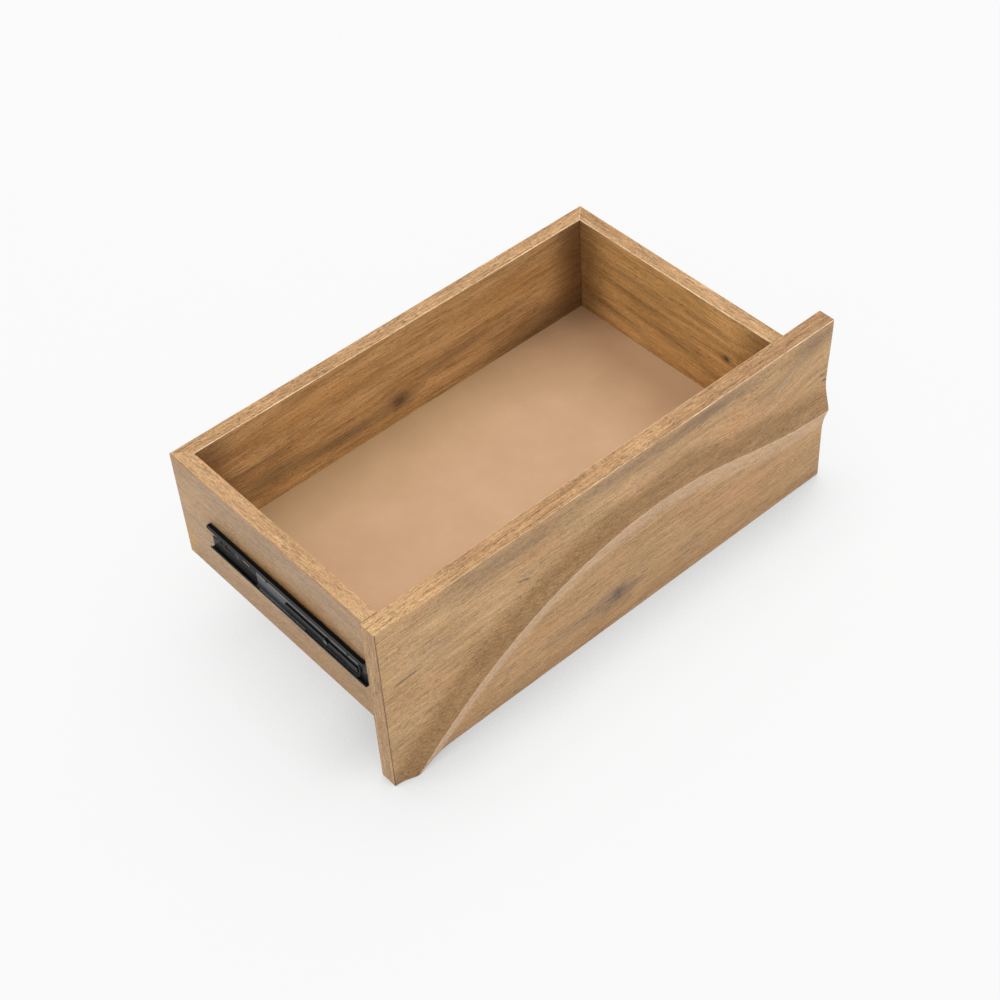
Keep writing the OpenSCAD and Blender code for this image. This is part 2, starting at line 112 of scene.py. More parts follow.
class Shader:
    """A material with a Principled shader, and short calls for the nodes that feed it."""

    def __init__(self, name):
        self.material = bpy.data.materials.new(name)
        self.material.use_nodes = True
        self.tree = self.material.node_tree
        self.tree.nodes.clear()
        self.surface = self.add("ShaderNodeBsdfPrincipled")
        output = self.add("ShaderNodeOutputMaterial")
        self.join(self.surface.outputs[0], output.inputs[0])

    def add(self, kind, **settings):
        node = self.tree.nodes.new(kind)
        for key, value in settings.items():
            setattr(node, key, value)
        return node

    def join(self, source, socket):
        if isinstance(source, bpy.types.NodeSocket):
            self.tree.links.new(source, socket)
        else:
            socket.default_value = source

    def set(self, **values):
        """Sets the shader's sockets. Their names have _ for each space."""
        for key, value in values.items():
            self.join(value, self.surface.inputs[key.replace("_", " ")])

    def math(self, operation, a, b=0.0):
        node = self.add("ShaderNodeMath", operation=operation)
        self.join(a, node.inputs[0])
        self.join(b, node.inputs[1])
        return node.outputs[0]

    def plus(self, a, b):
        return self.math("ADD", a, b)

    def minus(self, a, b):
        return self.math("SUBTRACT", a, b)

    def times(self, a, b):
        return self.math("MULTIPLY", a, b)

    def place(self):
        """Where a point is, in the frame, in millimetres."""
        metres = self.add("ShaderNodeTexCoord").outputs["Object"]
        node = self.add("ShaderNodeVectorMath", operation="SCALE")
        self.join(metres, node.inputs[0])
        node.inputs["Scale"].default_value = 1 / MM
        return node.outputs[0]

    def parts(self, vector):
        node = self.add("ShaderNodeSeparateXYZ")
        self.join(vector, node.inputs[0])
        return node.outputs

    def joined(self, x, y, z):
        node = self.add("ShaderNodeCombineXYZ")
        for value, socket in zip((x, y, z), node.inputs):
            self.join(value, socket)
        return node.outputs[0]

    def noise(self, vector, detail=2.0, roughness=0.5):
        node = self.add("ShaderNodeTexNoise")
        self.join(vector, node.inputs["Vector"])
        node.inputs["Scale"].default_value = 1.0
        node.inputs["Detail"].default_value = detail
        node.inputs["Roughness"].default_value = roughness
        return node.outputs[0]

    def spots(self, x, y, z, detail=2.0, roughness=0.5):
        """Noise whose features are about x, y and z millimetres long."""
        node = self.add("ShaderNodeVectorMath", operation="DIVIDE")
        self.join(self.place(), node.inputs[0])
        node.inputs[1].default_value = (x, y, z)
        return self.noise(node.outputs[0], detail, roughness)

    def step(self, value, low, high):
        """0 at low, 1 at high, and smooth in between."""
        node = self.add("ShaderNodeMapRange", interpolation_type="SMOOTHSTEP")
        self.join(value, node.inputs["Value"])
        node.inputs["From Min"].default_value = low
        node.inputs["From Max"].default_value = high
        return node.outputs[0]

    def ramp(self, value, *stops):
        """A colour for each value: stops are (place, colour)."""
        node = self.add("ShaderNodeValToRGB")
        self.join(value, node.inputs[0])
        elements = node.color_ramp.elements
        for index, (at, tone) in enumerate(stops):
            stop = elements[index] if index < 2 else elements.new(at)
            stop.position = at
            stop.color = tone
        return node.outputs[0]

    def mix(self, share, a, b, blend="MIX"):
        first_colour, second_colour, mixed_colour = 6, 7, 2
        node = self.add("ShaderNodeMix", data_type="RGBA", blend_type=blend)
        self.join(share, node.inputs[0])
        self.join(a, node.inputs[first_colour])
        self.join(b, node.inputs[second_colour])
        return node.outputs[mixed_colour]

    def shaded(self, tone, shade):
        """The tone, made lighter or darker by a shade round 1."""
        return self.mix(1.0, tone, self.joined(shade, shade, shade), "MULTIPLY")

    def attribute(self, name):
        return self.add("ShaderNodeAttribute", attribute_name=name).outputs["Fac"]

    def bump(self, height, depth):
        """Raises the surface by up to depth metres."""
        node = self.add("ShaderNodeBump")
        node.inputs["Distance"].default_value = depth
        self.join(height, node.inputs["Height"])
        self.join(node.outputs[0], self.surface.inputs["Normal"])

    def edges(self, radius):
        """1 on edges sharper than the radius in metres, 0 on flat faces."""
        flat_dot, sharp_dot = 0.995, 0.90
        rounded = self.add("ShaderNodeBevel", samples=6)
        rounded.inputs["Radius"].default_value = radius
        flat = self.add("ShaderNodeNewGeometry").outputs["Normal"]
        dot = self.add("ShaderNodeVectorMath", operation="DOT_PRODUCT")
        self.join(rounded.outputs[0], dot.inputs[0])
        self.join(flat, dot.inputs[1])
        return self.step(dot.outputs["Value"], flat_dot, sharp_dot)


class Wood(Shader):
    """Solid wood whose grain runs along one axis. Places on it are in millimetres,
    along the grain and across it."""

    # How far the grain wanders across in millimetres, and over which lengths: along the
    # grain, across it and through the board
    WANDER, WANDER_LENGTHS = 6.0, (210, 70, 90)

    def __init__(self, name, grain, seed):
        super().__init__(name)
        x, y, z = self.parts(self.place())
        axes = {"x": (x, z, y), "y": (y, z, x), "z": (z, y, x)}[grain]
        self.along, self.across, self.through = axes
        self.seed = seed
        along, across, through = (self.times(axis, 1 / length)
                                  for axis, length in zip(axes, self.WANDER_LENGTHS))
        drift = self.noise(self.joined(along, across, self.plus(through, seed)), detail=1.0)
        self.bent = self.plus(self.across, self.times(self.minus(drift, 0.5), 2 * self.WANDER))

    def grain(self, along, across, detail=2.0, roughness=0.5):
        """Noise drawn out along the grain, with its two lengths in millimetres."""
        place = self.joined(self.times(self.along, 1 / along),
                            self.times(self.bent, 1 / across),
                            self.plus(self.times(self.through, 1 / across), self.seed))
        return self.noise(place, detail, roughness)

    def figure(self, along, across, lines):
        """Growth rings that show as long drawn-out loops: 1 on their dark lines."""
        sharpness = 2.5
        turns = self.times(self.grain(along, across, detail=1.0), lines * math.tau)
        wave = self.times(self.math("SINE", turns), 0.5)
        return self.math("POWER", self.plus(wave, 0.5), sharpness)

    def oval(self, at, size, bent=True):
        """1 at the middle of an oval, falling smoothly to 0 at its edge."""
        along = self.times(self.minus(self.along, at[0]), 1 / size[0])
        across = self.times(self.minus(self.bent if bent else self.across, at[1]), 1 / size[1])
        square = self.plus(self.times(along, along), self.times(across, across))
        return self.step(self.math("SQRT", square), 1.0, 0.0)

    def stroke(self, at, length, width, slope):
        """A short mark, 1 in its middle, that rises by a slope from the grain's direction."""
        past = self.minus(self.along, at[0])
        ends = self.step(self.math("ABSOLUTE", past), length / 2, length / 4)
        line = self.plus(self.times(past, slope), at[1])
        off = self.math("ABSOLUTE", self.minus(self.across, line))
        return self.times(ends, self.step(off, width, width * 0.2))

    def bend_round(self, at, size, lift):
        """Leads the grain round a knot."""
        away = self.times(self.minus(self.across, at[1]), 1 / size[1])
        push = self.times(self.times(self.oval(at, size, bent=False), away), -lift)
        self.bent = self.plus(self.bent, push)

    def slant(self, at, size, slope):
        """Lets the grain rise by a slope inside an oval."""
        rise = self.times(self.minus(self.along, at[0]), -slope)
        self.bent = self.plus(self.bent, self.times(self.oval(at, size, bent=False), rise))

    def tinted(self, tone, mask, share, other):
        """The tone, with a share of another one where the mask is 1."""
        return self.mix(self.times(mask, share), tone, other)

    def streaks(self, light, middle, dark, figure=0.10, fibre=1.0):
        """Three tones in streaks and bands along the grain, with faint growth rings."""
        fine = self.grain(90 * fibre, 1.7, detail=3.0, roughness=0.7)
        broad = self.grain(120, 24, detail=4.0, roughness=0.65)
        both = self.plus(self.times(fine, 0.5), self.times(broad, 0.5))
        tone = self.ramp(both, (0.38, dark), (0.5, middle), (0.62, light))
        return self.tinted(tone, self.figure(420, 46, 5), figure, dark)

    def finish(self, tone, contrast=1.0, fibre=1.0):
        """Adds fibres and pores to a tone and to the surface, and ends the material. fibre
        is the length of the marks, as a share of what long grain shows."""
        fine = self.grain(45 * fibre, 0.8, roughness=0.7)
        specks = self.grain(2.6, 1.0, roughness=0.8)
        pores = self.step(self.grain(8, 0.9, detail=1.0), 0.54, 0.62)
        clumps = self.step(self.grain(60, 7), 0.36, 0.60)
        pores = self.times(pores, self.plus(self.times(clumps, 0.6), 0.4))
        shade = self.plus(self.times(self.minus(fine, 0.5), 1.5 * contrast), 1.09)
        shade = self.plus(shade, self.times(self.minus(specks, 0.5), 1.5 * contrast))
        shade = self.minus(shade, self.times(pores, 0.34 * contrast))
        height = self.minus(self.times(fine, 0.5), self.times(pores, 0.8))
        self.bump(self.plus(height, self.times(specks, 0.4)), 0.14 * MM)
        self.set(Base_Color=self.shaded(tone, shade),
                 Roughness=self.plus(self.times(fine, 0.16), 0.44), Specular_IOR_Level=0.30)
        return self.material


def on_panel(x, z):
    """A place on the front panel, from its lower left corner, as the wood counts it."""
    return (x + PANEL_LOW.x / MM, z)


def with_ovals(wood, tone, other, ovals):
    """Tints ovals on the front panel: (x, z, length, height, share)."""
    for x, z, length, height, share in ovals:
        tone = wood.tinted(tone, wood.oval(on_panel(x, z), (length, height)), share, other)
    return tone


def with_strokes(wood, tone, other, width, slope, share, strokes):
    """Draws marks of one width on the front panel: (x, z, length), and their slope."""
    for x, z, length in strokes:
        mark = wood.stroke(on_panel(x, z), length, width, slope)
        tone = wood.tinted(tone, mark, share, other)
    return tone


def front_face():
    """The carved face: a knot with a grey streak, orange patches and short dark marks, with
    painted shade, a painted reflection and a painted highlight along the crest.
    """
    wood = Wood("carved_face", "x", 3.1)
    wood.bend_round(on_panel(310, 42), (60, 26), 10)
    wood.slant(on_panel(560, 178), (120, 70), 0.35)
    tone = wood.streaks(colour(216, 175, 128), colour(203, 162, 114), colour(184, 143, 98))
    patches = wood.grain(85, 42)
    orange, dark = colour(214, 160, 110), colour(78, 68, 62)
    tone = wood.tinted(tone, wood.step(patches, 0.52, 0.72), 0.4, orange)
    tone = wood.tinted(tone, wood.step(patches, 0.46, 0.28), 0.2, colour(168, 145, 122))
    below_crest = wood.step(wood.attribute("crest"), 0.0, -30.0)
    tone = wood.tinted(tone, below_crest, 0.40, colour(180, 137, 92))
    lower_edge = wood.step(wood.across, 34, 4)
    tone = wood.tinted(tone, lower_edge, 0.32, colour(158, 116, 76))
    tone = with_strokes(wood, tone, colour(206, 187, 168), 3.5, 1.0, 0.3,
                        ((566, 198, 64), (582, 178, 52), (545, 180, 44)))
    tone = with_strokes(wood, tone, colour(218, 160, 104), 6.0, 0.3, 0.4,
                        ((478, 198, 90), (484, 178, 70), (530, 166, 70), (562, 150, 60)))
    tone = with_ovals(wood, tone, orange, (
        (205, 190, 50, 24, 0.6), (478, 176, 62, 34, 0.6), (335, 184, 60, 20, 0.55),
        (190, 62, 60, 20, 0.4), (400, 150, 90, 10, 0.3), (490, 70, 120, 40, 0.4),
        (555, 165, 50, 20, 0.35)))
    tone = with_ovals(wood, tone, colour(134, 110, 88), (
        (268, 38, 95, 16, 0.45), (306, 40, 40, 22, 0.55), (160, 213, 170, 30, 0.42),
        (592, 212, 50, 30, 0.65), (430, 221, 130, 18, 0.7), (300, 222, 120, 12, 0.4),
        (540, 183, 60, 22, 0.15), (526, 196, 34, 12, 0.16)))
    tone = with_ovals(wood, tone, dark, (
        (310, 41, 17, 12, 0.5), (308, 42, 8, 6, 0.3), (332, 39, 26, 6, 0.3),
        (216, 125, 10, 5, 0.35)))
    for slope, mark in ((-0.03, (29, 144, 38)), (-0.30, (182, 163, 20)),
                        (0.0, (612, 156, 9)), (0.0, (616, 146, 7))):
        tone = with_strokes(wood, tone, dark, 1.8, slope, 0.75, (mark,))
    tone = with_ovals(wood, tone, colour(234, 192, 147), ((330, 186, 85, 24, 0.35),))
    return wood.finish(crest_shade_and_reflection(wood, tone))


def crest_shade_and_reflection(wood, tone):
    """Painted shade in a brown band above the crest, a painted reflection in a pale strip below
    it that widens to the right, and a painted highlight in a paler line on it. The distances
    are millimetres above the crest."""
    crest = wood.attribute("crest")
    drift = wood.times(wood.minus(wood.grain(60, 30), 0.5), 20)
    above = wood.plus(crest, drift)
    # Painted shade: a brown band above the crest, darkest close to it
    band = wood.times(wood.step(above, 0.0, 14.0), wood.step(above, 46.0, 18.0))
    tone = wood.tinted(tone, band, 0.60, colour(141, 103, 62))
    near = wood.times(wood.step(crest, -0.5, 1.5), wood.step(crest, 14.0, 4.0))
    tone = wood.tinted(tone, near, 0.6, colour(150, 111, 70))
    rightward = wood.step(wood.along, on_panel(0, 0)[0], on_panel(PANEL_W, 0)[0])
    width = wood.plus(wood.times(rightward, 6.0), 26.0)
    reach = wood.math("DIVIDE", crest, width)
    # Painted reflection: a pale strip below the crest
    strip = wood.times(wood.step(crest, 0.6, -0.6), wood.step(reach, -1.2, -0.7))
    strip = wood.times(strip, wood.minus(1.0, wood.times(rightward, 0.3)))
    tone = wood.tinted(tone, strip, 0.55, colour(226, 192, 158))
    # Painted highlight: a paler line on the crest
    arris = wood.step(wood.math("ABSOLUTE", wood.plus(crest, 1.2)), 2.2, 0.5)
    return wood.tinted(tone, arris, 0.3, colour(240, 212, 180))


def plain_wood(name, grain, seed, tones, contrast=1.0, figure=0.10, fibre=1.0,
               knots=(), tints=(), ends=()):
    """A board's face. Knots are (place, radius), tints (place, size, share, tone), and ends the
    places along the grain of inner corners, next to which painted shade darkens the wood."""
    wood = Wood(name, grain, seed)
    for at, radius in knots:
        wood.bend_round(at, (radius * 6, radius * 4), radius * 1.5)
    tone = wood.streaks(*tones, figure=figure, fibre=fibre)
    for at, size, share, other in tints:
        tone = wood.tinted(tone, wood.oval(at, size), share, other)
    for at, radius in knots:
        halo = wood.oval(at, (radius * 7, radius * 2.6))
        tone = wood.tinted(tone, halo, 0.6, colour(104, 82, 56))
        core = wood.oval(at, (radius * 3.0, radius * 1.5))
        tone = wood.tinted(tone, core, 0.55, colour(56, 42, 32))
    # Painted shade next to the inner corners
    for end in ends:
        away = wood.math("ABSOLUTE", wood.minus(wood.along, end))
        tone = wood.tinted(tone, wood.step(away, 60, 8), 0.66, colour(106, 73, 42))
    return wood.finish(tone, contrast, fibre)


def board_face():
    """Smooth tan board with a faint cloudy tone. Painted shade makes it darker along the walls
    and in the rear right corner, and painted light makes it paler by the right wall and less
    red by the rear wall's left part."""
    look = Shader("board_face")
    clouds = look.spots(60, 60, 60, detail=3.0, roughness=0.6)
    grit = look.spots(1.3, 1.3, 1.3, detail=1.0)
    tone = look.ramp(clouds, (0.35, colour(205, 167, 130)), (0.65, colour(213, 175, 138)))
    x, y = look.parts(look.place())[:2]
    low, high = in_mm(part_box("bottom_board"))
    right, rear = high.x, high.y
    for place, start, end in ((x, low.x, right), (y, low.y, rear)):
        half, middle = (end - start) / 2, (start + end) / 2
        off = look.math("ABSOLUTE", look.minus(place, middle))
        # Painted shade along the walls
        painted_wall_shade = look.step(off, half - 60, half)
        tone = look.mix(look.times(painted_wall_shade, 0.12), tone, colour(170, 130, 92))
    # Painted light by the right wall, painted shade in the rear right corner, and painted light
    # that makes it less red by the rear wall's left part
    for by_x, by_y, share, other in (
            ((right - 45, right - 5), (rear - 20, rear - 120), 0.75, colour(240, 208, 170)),
            ((right - 60, right - 5), (rear - 60, rear - 5), 0.3, colour(140, 106, 74)),
            ((180, 20), (rear - 110, rear - 10), 0.3, colour(222, 197, 145))):
        patch = look.times(look.step(x, *by_x), look.step(y, *by_y))
        tone = look.mix(look.times(patch, share), tone, other)
    shade = look.plus(look.times(grit, 0.06), 0.97)
    look.bump(grit, 0.03 * MM)
    look.set(Base_Color=look.shaded(tone, shade), Roughness=0.55, Specular_IOR_Level=0.25)
    return look.material


def coated_metal(name, tone, wear_and_highlight, roughness, gloss, tones):
    """A thin coat over pressed steel, with faint drawing marks, and edges made paler by wear
    and a painted highlight. tones changes the coat's tone from place to place."""
    look = Shader(name)
    marks = look.spots(0.5, 12, 0.5)
    spots = look.spots(2.5, 4, 2.5)
    # Wear and painted highlight: paler edges
    edge = look.times(look.edges(0.9 * MM), look.plus(look.times(spots, 0.6), 0.3))
    body = tones(look, look.mix(look.times(marks, 0.06), tone, wear_and_highlight), wear_and_highlight)
    look.bump(marks, 0.02 * MM)
    look.set(Base_Color=look.mix(edge, body, wear_and_highlight), Specular_IOR_Level=gloss,
             Roughness=look.plus(look.times(spots, 0.16), roughness - 0.08))
    return look.material


def channel_tones(look, body, wear_and_highlight):
    """The channel has a painted sheen in patches along its web, which lies against the wood,
    and a painted highlight where its flanges turn into the lips."""
    x, _, z = look.parts(look.place())
    low, high = in_mm(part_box("left_slide_channel"))
    right = look.minus(x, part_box("right_slide_channel")[0].x / MM)
    from_wood = look.math("MAXIMUM", look.minus(high.x, x), right)
    # Painted sheen in patches on the web
    web = look.step(from_wood, 1.8, 1.4)
    worn_and_lit = look.step(look.spots(3, 60, 3, detail=3.0), 0.3, 0.75)
    body = look.mix(look.times(look.times(web, worn_and_lit), 0.36), body, wear_and_highlight)
    # Painted highlight where the flanges turn into the lips
    depth, half, middle = high.x - low.x, (high.z - low.z) / 2, (high.z + low.z) / 2
    off = look.math("ABSOLUTE", look.minus(z, middle))
    turn = look.times(look.step(from_wood, depth - 1.4, depth - 0.5),
                      look.step(off, half - 1.4, half - 0.5))
    return look.mix(look.times(turn, 0.8), body, wear_and_highlight)


def rail_tones(look, body, wear_and_highlight):
    """The rail has painted shade in front of the lever's rear end, and a painted highlight in a
    paler line along it.
    """
    _, y, z = look.parts(look.place())
    lever_end = in_mm(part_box("left_release_lever"))[1]
    # Painted shade in front of the lever's rear end
    front = look.step(y, lever_end.y + 4, lever_end.y - 4)
    body = look.mix(look.times(front, 0.8), body, colour(26, 26, 27))
    # Painted highlight: a paler line along the rail
    from_line = look.math("ABSOLUTE", look.minus(z, lever_end.z + 3.5))
    line = look.times(look.step(from_line, 3.0, 0.5), look.plus(look.times(front, -0.05), 0.8))
    return look.mix(look.times(line, 0.6), body, wear_and_highlight)


def bright_metal(name, tone, dull, roughness):
    """Bare or plated metal with fine marks of a duller tone."""
    look = Shader(name)
    marks = look.spots(0.6, 3, 0.6)
    look.bump(marks, 0.01 * MM)
    look.set(Base_Color=look.mix(look.times(marks, 0.5), tone, dull), Metallic=1.0,
             Roughness=look.plus(look.times(marks, 0.14), roughness - 0.07))
    return look.material


def moulded(name, tone, roughness, gloss):
    """Plastic or rubber with a fine grain."""
    look = Shader(name)
    grit = look.spots(0.7, 0.7, 0.7, detail=1.0)
    look.bump(grit, 0.03 * MM)
    look.set(Base_Color=look.shaded(tone, look.plus(look.times(grit, 0.3), 0.85)),
             Roughness=roughness, Specular_IOR_Level=gloss)
    return look.material


def finished(data, name, node, slot, *materials):
    """Makes a piece of the mesh, which rides with the drawer and stands for a node."""
    piece = bpy.data.objects.new(name, data)
    bpy.context.scene.collection.objects.link(piece)
    for material in materials:
        data.materials.append(material)
    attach(piece, "drawer")
    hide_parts(node)
    return piece


def apply_modifiers(piece):
    """Makes what the modifiers show the piece's own mesh."""
    graph = bpy.context.evaluated_depsgraph_get()
    made = bpy.data.meshes.new_from_object(piece.evaluated_get(graph))
    piece.modifiers.clear()
    piece.data = made


def seat_cutter(node):
    """A node's own shape, grown by the play round it, to cut its seat with."""
    merge, same_plane = MM / 1000, 0.02
    shape = bmesh.new()
    shape.from_mesh(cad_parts[node].data)
    bmesh.ops.remove_doubles(shape, verts=shape.verts, dist=merge)
    shape.normal_update()
    moves = []
    for vert in shape.verts:
        normals = np.array([face.normal for face in vert.link_faces])
        push = np.linalg.lstsq(normals, np.full(len(normals), SEAT_GAP), rcond=same_plane)[0]
        moves.append((vert, Vector(push)))
    for vert, push in moves:
        vert.co += push
    data = bpy.data.meshes.new(node + "_seat")
    shape.to_mesh(data)
    shape.free()
    made = bpy.data.objects.new(node + "_seat", data)
    bpy.context.scene.collection.objects.link(made)
    return made


def cut(piece, cutters):
    """Cuts the seats of the pieces that are let into this one."""
    for cutter in cutters:
        change = piece.modifiers.new("cut", "BOOLEAN")
        change.operation = "DIFFERENCE"
        change.solver = "EXACT"
        change.object = cutter
    apply_modifiers(piece)


def soften(piece):
    """Smooth shading that stays flat on flat faces."""
    sharp_angle, flat_face_weight = 40, 80
    piece.data.shade_smooth()
    piece.data.set_sharp_from_angle(angle=math.radians(sharp_angle))
    even = piece.modifiers.new("even", "WEIGHTED_NORMAL")
    even.keep_sharp = True
    even.weight = flat_face_weight


def mesh_of(shape, name):
    """A mesh of the shape, with its faces looking outward."""
    bmesh.ops.recalc_face_normals(shape, faces=shape.faces)
    data = bpy.data.meshes.new(name)
    shape.to_mesh(data)
    shape.free()
    return data


# The next five functions are the carved wave, for arrays of places on the panel
def smooth(t):
    """0 up to 0, 1 from 1 on, and smooth in between."""
    t = np.clip(t, 0, 1)
    return t * t * (3 - 2 * t)


def crest_height(x):
    """How high the crest runs."""
    span = PEAK_X - FOOT_X
    t = (x - FOOT_X) / span
    climb = PEAK_Z * (3 * t ** 2 - 2 * t ** 3) + FOOT_SLOPE * span * (t ** 3 - 2 * t ** 2 + t)
    fall = PEAK_Z - (PEAK_Z - END_Z) * smooth((x - PEAK_X) / (PANEL_W - PEAK_X))
    return np.where(x < PEAK_X, climb, fall)


def from_crest(x, z):
    """Distance above the crest, square to it."""
    slope = crest_height(x + 0.5) - crest_height(x - 0.5)
    return (z - crest_height(x)) / np.sqrt(1 + slope ** 2)


def ridge(s):
    """1 on the crest, which is slightly rounded, and 0 past its two flanks."""
    away = np.sqrt(s ** 2 + CREST_ROUNDING ** 2) - CREST_ROUNDING
    above = 1 - np.clip(away / UPPER_FLANK, 0, 1)
    below = 1 - np.clip(away / LOWER_FLANK, 0, 1)
    return np.where(s > 0, above ** 2 * (2 - above), below ** 2)


def face_depth(x, z):
    """How far the carved face lies behind the panel's upper front edge."""
    s = from_crest(x, z)
    top = smooth((z - PANEL_H + TOP_BAND) / TOP_BAND)
    left = 1 - smooth(x / LEFT_BAND)
    sunk = FIELD_SINK * (1 - np.maximum(top, left) * smooth(s / UPPER_FLANK + 0.5))
    rise = FOOT_RISE + (END_RISE - FOOT_RISE) * (x - FOOT_X) / (PANEL_W - FOOT_X)
    return sunk - smooth(x / FOOT_X) * ridge(s) * (rise + sunk)


def panel_places():
    """Columns of places on the carved face. Their rows follow the crest and crowd there."""
    step, foot_columns, rows_below, rows_above, least_row = 2.5, 11, 44, 64, 12
    rim = EASING / MM
    columns = round((PANEL_W - FOOT_X) / step)
    xs = np.concatenate([np.linspace(rim, FOOT_X, foot_columns),
                         np.linspace(FOOT_X, PANEL_W - rim, columns)[1:]])
    crest = np.maximum(least_row, crest_height(xs))[:, None]
    low = np.sin(np.linspace(0, math.pi / 2, rows_below + 1))
    high = 1 - np.cos(np.linspace(0, math.pi / 2, rows_above + 1))[1:]
    zs = np.concatenate([crest * low, crest + (PANEL_H - crest) * high], axis=1)
    zs = rim + zs * (PANEL_H - 2 * rim) / PANEL_H
    return np.repeat(xs[:, None], zs.shape[1], axis=1), zs


def front_mesh():
    """The carved block: the relief, eased rims round it, and a flat back."""
    xs, zs = panel_places()
    depths = face_depth(xs, zs)
    distances = from_crest(xs, zs)
    front_y = PANEL_HIGH.y - PANEL_T * MM
    cols, rows = xs.shape
    last_col, last_row = cols - 1, rows - 1
    shape = bmesh.new()
    crest = shape.verts.layers.float.new("crest")

    def vert(x, y, z, distance):
        made = shape.verts.new((PANEL_LOW.x + x * MM, front_y + y * MM, PANEL_LOW.z + z * MM))
        made[crest] = distance
        return made

    grid = [[vert(xs[i, j], depths[i, j], zs[i, j], distances[i, j]) for j in range(rows)]
            for i in range(cols)]
    for i in range(last_col):
        for j in range(last_row):
            shape.faces.new((grid[i][j], grid[i + 1][j], grid[i + 1][j + 1], grid[i][j + 1]))
    rim = [(i, 0) for i in range(cols)]
    rim += [(last_col, j) for j in range(1, rows)]
    rim += [(i, last_row) for i in range(last_col - 1, -1, -1)]
    rim += [(0, j) for j in range(last_row - 1, 0, -1)]
    ring = [grid[i][j] for i, j in rim]
    outward = [(float(i == last_col) - float(i == 0), float(j == last_row) - float(j == 0))
               for i, j in rim]
    # Each ring of the rim: how far out it lies, from which face, and how far from that face
    quarter = (0, math.pi / 6, math.pi / 3, math.pi / 2)
    ring_steps = [(math.sin(a), "front", 1 - math.cos(a)) for a in quarter[1:]]
    ring_steps += [(math.cos(a), "back", math.sin(a)) for a in quarter]
    for reach, end, drop in ring_steps:
        out = reach * EASING / MM
        following = []
        for (i, j), (ox, oz) in zip(rim, outward):
            if end == "front":
                y = depths[i, j] + drop * EASING / MM
            else:
                y = PANEL_T - (1 - drop) * EASING / MM
            following.append(vert(xs[i, j] + ox * out, y, zs[i, j] + oz * out, distances[i, j]))
        for k in range(len(ring)):
            n = (k + 1) % len(ring)
            face = shape.faces.new((ring[n], ring[k], following[k], following[n]))
            face.material_index = RIM if (reach, end) == (1, "back") else EASED
        ring = following
    shape.faces.new(ring).material_index = BACK
    return mesh_of(shape, "carved_front")


def board_mesh(name, outline, low, high):
    """An upright board. The outline's first and third stretches are its two faces, whose
    long edges are eased. The other edges meet another board and stay sharper."""
    shape = bmesh.new()
    bottom = [shape.verts.new((x, y, low)) for x, y in outline]
    top = [shape.verts.new((x, y, high)) for x, y in outline]
    shape.faces.new(bottom[::-1])
    shape.faces.new(top)
    for k in range(4):
        n = (k + 1) % 4
        shape.faces.new((bottom[k], bottom[n], top[n], top[k]))
    weight = shape.edges.layers.float.new("bevel_weight_edge")
    eased = [{verts[k], verts[k + 1]} for verts in (bottom, top) for k in (0, 2)]
    for edge in shape.edges:
        edge[weight] = 1.0 if set(edge.verts) in eased else JOINT_SHARE
    return mesh_of(shape, name)


def board(name, outline, node, faces, worn_and_lit, cutters):
    """A board with eased edges and cut seats. faces are (direction, material) of its two faces,
    and the last is the material of its edges. Then come the looks of its eased edges: along the
    board, paler by wear and a painted highlight, and where it meets another, dark."""
    low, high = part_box(node)
    (first, first_look), (second, second_look), edge_look = faces
    piece = finished(board_mesh(name, outline, low.z, high.z), name, node, "box_oak",
                     first_look, second_look, edge_look, *worn_and_lit)
    change = piece.modifiers.new("ease", "BEVEL")
    change.limit_method = "WEIGHT"
    change.width = EASING
    change.segments = 3
    change.material = EASED
    apply_modifiers(piece)
    cut(piece, cutters)
    for face in piece.data.polygons:
        towards = (face.normal.dot(Vector(first)), face.normal.dot(Vector(second)))
        if face.material_index == EASED:
            if abs(face.normal.z) < ACROSS or max(map(abs, towards)) < ACROSS:
                face.material_index = SEAM
        elif towards[0] > ALONG:
            face.material_index = FIRST_FACE
        else:
            face.material_index = SECOND_FACE if towards[1] > ALONG else EDGES
    soften(piece)


# Tones of the wood: light, middle and dark
OUTSIDE = (colour(200, 166, 131), colour(189, 155, 120), colour(174, 140, 105))
INSIDE = (colour(217, 178, 125), colour(198, 158, 107), colour(168, 129, 82))
# Paler inside tones for the right side: painted light
INSIDE_PAINTED_LIGHT = (colour(234, 193, 131), colour(217, 173, 111), colour(184, 144, 90))
EDGE = (colour(203, 161, 113), colour(183, 140, 94), colour(154, 112, 70))
TOPS = (colour(207, 165, 118), colour(192, 150, 105), colour(172, 130, 88))
ENDS = (colour(202, 162, 118), colour(190, 151, 107), colour(167, 130, 90))
# Eased edges: paler by wear and a painted highlight
WEAR_AND_HIGHLIGHT = (colour(244, 220, 188), colour(234, 202, 162), colour(206, 168, 126))
SEAMS = (colour(140, 104, 70), colour(120, 88, 58), colour(96, 70, 46))
# The front's dark arrises: seams at its ends, and a painted shadow along its lower edge
FRONT_SEAMS_AND_SHADOW = (colour(160, 122, 86), colour(140, 106, 74), colour(114, 86, 60))
BEECH = (colour(222, 190, 146), colour(208, 172, 128), colour(188, 150, 106))
# Seeds of the eased edges' grain
EASED_SEED, SEAM_SEED = 11.7, 13.1


def eased_and_seam_looks(grain):
    """The looks of the eased edges: paler along a board, by wear and a painted highlight, and
    dark where two boards meet.
    """
    return (plain_wood("eased_" + grain, grain, EASED_SEED, WEAR_AND_HIGHLIGHT, figure=0.0),
            plain_wood("seam_" + grain, grain, SEAM_SEED, SEAMS, figure=0.0))


